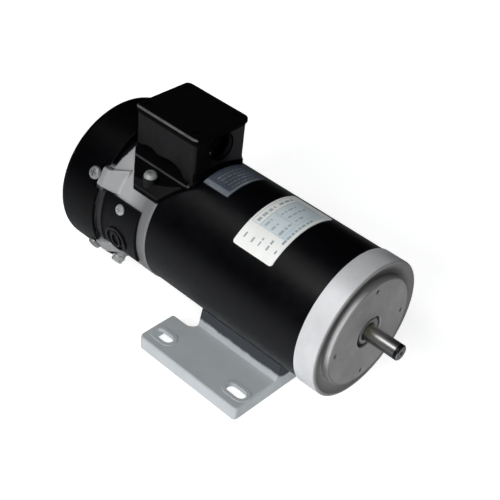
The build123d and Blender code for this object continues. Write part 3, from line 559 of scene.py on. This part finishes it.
# nameplate: thin curved aluminium plate with a raised border line and plain printed blocks
V, F = arc_solid(-98.2, -62.2, 62, 135.2, 53.21, 53.66, rc=2.2)
plate = piece("nameplate_plate", V, F, MAT["plate_print"])
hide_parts("nameplate")
import random
rnd = random.Random(7)
bars = []


def words(x, a_from, a_to, h, gap=1.6, wmin=2.0, wmax=5.5):
    """Row of short blocks at x, running from angle a_from down to a_to."""
    a = a_from
    while a > a_to + 1:
        w = min(rnd.uniform(wmin, wmax), a - a_to)
        bars.append(arc_solid(x - h / 2, x + h / 2, a - w, a, 53.64, 53.70, step=1.5, nx=1, edge=0))
        a -= w + gap * rnd.uniform(.7, 1.2)


words(-67.6, 126.0, 122.5, 1.3)
words(-67.6, 117.0, 84.0, 1.9)
words(-74.6, 127.0, 118.0, 1.6)
words(-74.6, 112.0, 99.0, 2.2)
words(-74.6, 94.5, 85.0, 1.4)
words(-81.6, 127.5, 120.0, 1.2)
words(-81.6, 112.0, 104.5, 1.8)
words(-80.6, 95.0, 74.0, 1.4)
words(-87.6, 128.0, 123.0, 1.5)
words(-87.6, 112.0, 104.0, 1.8)
words(-86.0, 96.0, 80.0, 1.4)
words(-94.6, 127.5, 121.0, 1.3)
words(-94.6, 111.5, 92.5, 2.3)
words(-94.6, 88.0, 73.0, 1.9)
for x0, x1, a0, a1 in ((-98.3, -91.3, 70.5, 113.5), (-91.0, -71.0, 98.0, 113.5), (-91.0, -71.0, 72.0, 97.2)):
    for q in ((x0, x1, a0, a0 + .28), (x0, x1, a1 - .28, a1), (x0, x0 + .26, a0, a1), (x1 - .26, x1, a0, a1)):
        bars.append(arc_solid(q[0], q[1], q[2], q[3], 53.64, 53.69, step=1.5, nx=1, edge=0))
V, F = merge(bars)
V = [(x + 1.8 * MM, y, z) for x, y, z in V]
piece("nameplate_print", V, F, MAT["plate_ink"])
V, F = merge([arc_solid(-89.0, -64.6, 69.5, 113.5, 53.63, 53.675, step=1.5, nx=4, edge=0)])
piece("nameplate_panel", V, F, MAT["plate_tint"])

# second label: dark film with a pale strip and faint rows
V, F = arc_solid(-149, -124.5, 64, 109, 53.21, 53.45, rc=1.0)
lab = piece("rating_label_film", V, F, MAT["label_print"])
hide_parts("rating_label")

# the brush springs (9.2 mm long at rest, 4.2 mm at the brush's outer limit) are copied as fixed meshes on the stator,
# and the CAD springs are hidden
for side, anchor_y in (("left", -.0434), ("right", .0434)):
    cad = [o for o in bpy.data.objects if o.get("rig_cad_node") == "brush_spring_" + side][0]
    bpy.context.view_layer.update()
    coil = bpy.data.objects.new("brush_spring_" + side + "_coil", cad.data.copy())
    bpy.context.scene.collection.objects.link(coil)
    coil.data.transform(cad.matrix_world)
    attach(coil, "stator")
    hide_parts("brush_spring_" + side)
    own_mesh(coil)
    coil.data.materials.clear()
    coil.data.materials.append(MAT["spring_steel"])
bars = [arc_solid(-148.6, -124.9, 104.0, 108.6, 53.44, 53.49, step=1.2, nx=4, edge=0),
        arc_solid(-126.9, -124.9, 72.0, 103.8, 53.44, 53.48, step=1.2, nx=1, edge=0)]


for x in (-128.8, -132.2, -135.6, -139.0, -142.4):
    words(x, 99.5, 72.0, 1.1, gap=1.2)
V, F = merge(bars)
piece("rating_label_print", V, F, MAT["label_strip"])


def rounded_ring(x0, x1, y, z0, z1, rad, inset):
    """Closed rectangular band with rounded corners."""
    V, F = [], []

    def loop(e):
        pts = []
        X0, X1, Y = x0 - e, x1 + e, y + e
        R = rad + e
        for cx, cy, s in ((X1 - R, Y - R, 0), (X0 + R, Y - R, 90), (X0 + R, -Y + R, 180), (X1 - R, -Y + R, 270)):
            for k in range(9):
                t = radians(s + 90 * k / 8)
                pts.append((cx + R * cos(t), cy + R * sin(t)))
        return pts

    secs = [(0, z0), (inset, z0 + .25), (inset, z1 - .25), (0, z1)]
    n = len(loop(0))
    for e, z in secs:
        for px, py in loop(e):
            V.append((px * MM, py * MM, z * MM))
    for px, py in loop(-1.2):
        V.append((px * MM, py * MM, z1 * MM))
    for px, py in loop(-1.2):
        V.append((px * MM, py * MM, z0 * MM))
    m = len(secs) + 2
    for j in range(m):
        for i in range(n):
            F.append((j * n + i, j * n + (i + 1) % n, ((j + 1) % m) * n + (i + 1) % n, ((j + 1) % m) * n + i))
    return V, F


V, F = rounded_ring(-211.5, -150.0, 25.5, 81.4, 83.95, 3.5, .12)
piece("lid_gasket_lip", V, F, MAT["seal_rubber"], 40)

# ------------------------------------------------------------------ stage, light, camera
FLOOR_Z = CAD_LO[2]


def add_floor():
    me = bpy.data.meshes.new("floor")
    s = 4.0
    me.from_pydata([(-s, -s, FLOOR_Z), (s, -s, FLOOR_Z), (s, s, FLOOR_Z), (-s, s, FLOOR_Z)], [], [(0, 1, 2, 3)])
    o = bpy.data.objects.new("floor", me)
    COL.objects.link(o)
    o.visible_glossy = False
    t = NT("floor_pale")
    t.finish(t.mix(t.ramp(t.noise(3, 2, .5), .3, .7), (.78, .78, .78), (.80, .80, .80)), .7, 0.0)
    t.b.inputs["Specular IOR Level"].default_value = .1
    t.b.inputs["Emission Color"].default_value = (1, 1, 1, 1)
    t.b.inputs["Emission Strength"].default_value = .70
    me.materials.append(t.m)
    return o


floor = add_floor()

# soft studio surroundings: dark overhead, pale below the horizon, lighter towards the front left
w = bpy.data.worlds.new("studio")
scene.world = w
w.use_nodes = True
wt = w.node_tree
bg = wt.nodes["Background"]
gen = wt.nodes.new("ShaderNodeTexCoord")
sx = wt.nodes.new("ShaderNodeSeparateXYZ")
wt.links.new(gen.outputs["Generated"], sx.inputs[0])


def world_ramp(socket, a, b, lo, hi):
    x = wt.nodes.new("ShaderNodeMapRange")
    x.clamp = True
    x.inputs[1].default_value = a
    x.inputs[2].default_value = b
    x.inputs[3].default_value = lo
    x.inputs[4].default_value = hi
    wt.links.new(socket, x.inputs[0])
    return x.outputs[0]


def world_math(op, a, b):
    x = wt.nodes.new("ShaderNodeMath")
    x.operation = op
    wt.links.new(a, x.inputs[0])
    wt.links.new(b, x.inputs[1])
    return x.outputs[0]


low = world_ramp(sx.outputs[2], .02, -.36, .010, .52)
front = world_ramp(sx.outputs[1], .7, -.7, .35, 1.0)
wt.links.new(world_math("MULTIPLY", low, front), bg.inputs[1])
bg.inputs[0].default_value = (.95, .97, 1.0, 1)


def area(name, loc, target, size, power, color=(1, 1, 1), size_y=None, glossy=True):
    l = bpy.data.lights.new(name, "AREA")
    l.energy = power
    l.color = color
    l.size = size
    if size_y:
        l.shape = "RECTANGLE"
        l.size_y = size_y
    o = bpy.data.objects.new(name, l)
    o.location = loc
    d = Vector(target) - Vector(loc)
    o.rotation_euler = d.to_track_quat("-Z", "Y").to_euler()
    o.visible_glossy = glossy
    COL.objects.link(o)
    return o


C = (-.12, 0, 0)
area("strip", (-.26, -.73, 1.04), (0, 0, 0), .28, 3.2, (1, 1, 1), .28)
area("key", (.05, -1.3, .62), (-.05, 0, 0), .9, 14.4, (1, .995, .98), .7, glossy=False)
area("fill", (1.0, -.62, .72), C, .7, 4.8, (.96, .98, 1), glossy=False)
area("sheen", (-.75, -.35, 1.1), (-.12, 0, 0), .45, .7, (.95, .96, 1.0), .45)
area("back", (-.30, 1.20, .60), (-.12, 0, -.03), .7, 3.4, (.97, .98, 1.0), .7, glossy=False)

cam_d = bpy.data.cameras.new("camera")
cam = bpy.data.objects.new("camera", cam_d)
COL.objects.link(cam)
YAW, PITCH, ROLL = radians(38.98), radians(38.09), radians(7.19)
back = Vector((sin(YAW) * cos(PITCH), -cos(YAW) * cos(PITCH), sin(PITCH)))
target = Vector((-2.022 * .054 - .003, -.006 * .054, .046 * .054))
loc = target + back * (14.396 * .054)
right0 = (-back).cross(Vector((0, 0, 1))).normalized()
up0 = right0.cross(-back)
right = cos(ROLL) * right0 + sin(ROLL) * up0
up = -sin(ROLL) * right0 + cos(ROLL) * up0
cam.matrix_world = Matrix(((right.x, up.x, back.x, loc.x), (right.y, up.y, back.y, loc.y), (right.z, up.z, back.z, loc.z), (0, 0, 0, 1)))
cam_d.sensor_width = 36
cam_d.lens = 1064.2 / 500 * 36
cam_d.clip_start = .01
scene.camera = cam
scene.view_settings.view_transform = "Standard"
scene.view_settings.look = "None"

bpy.context.view_layer.update()
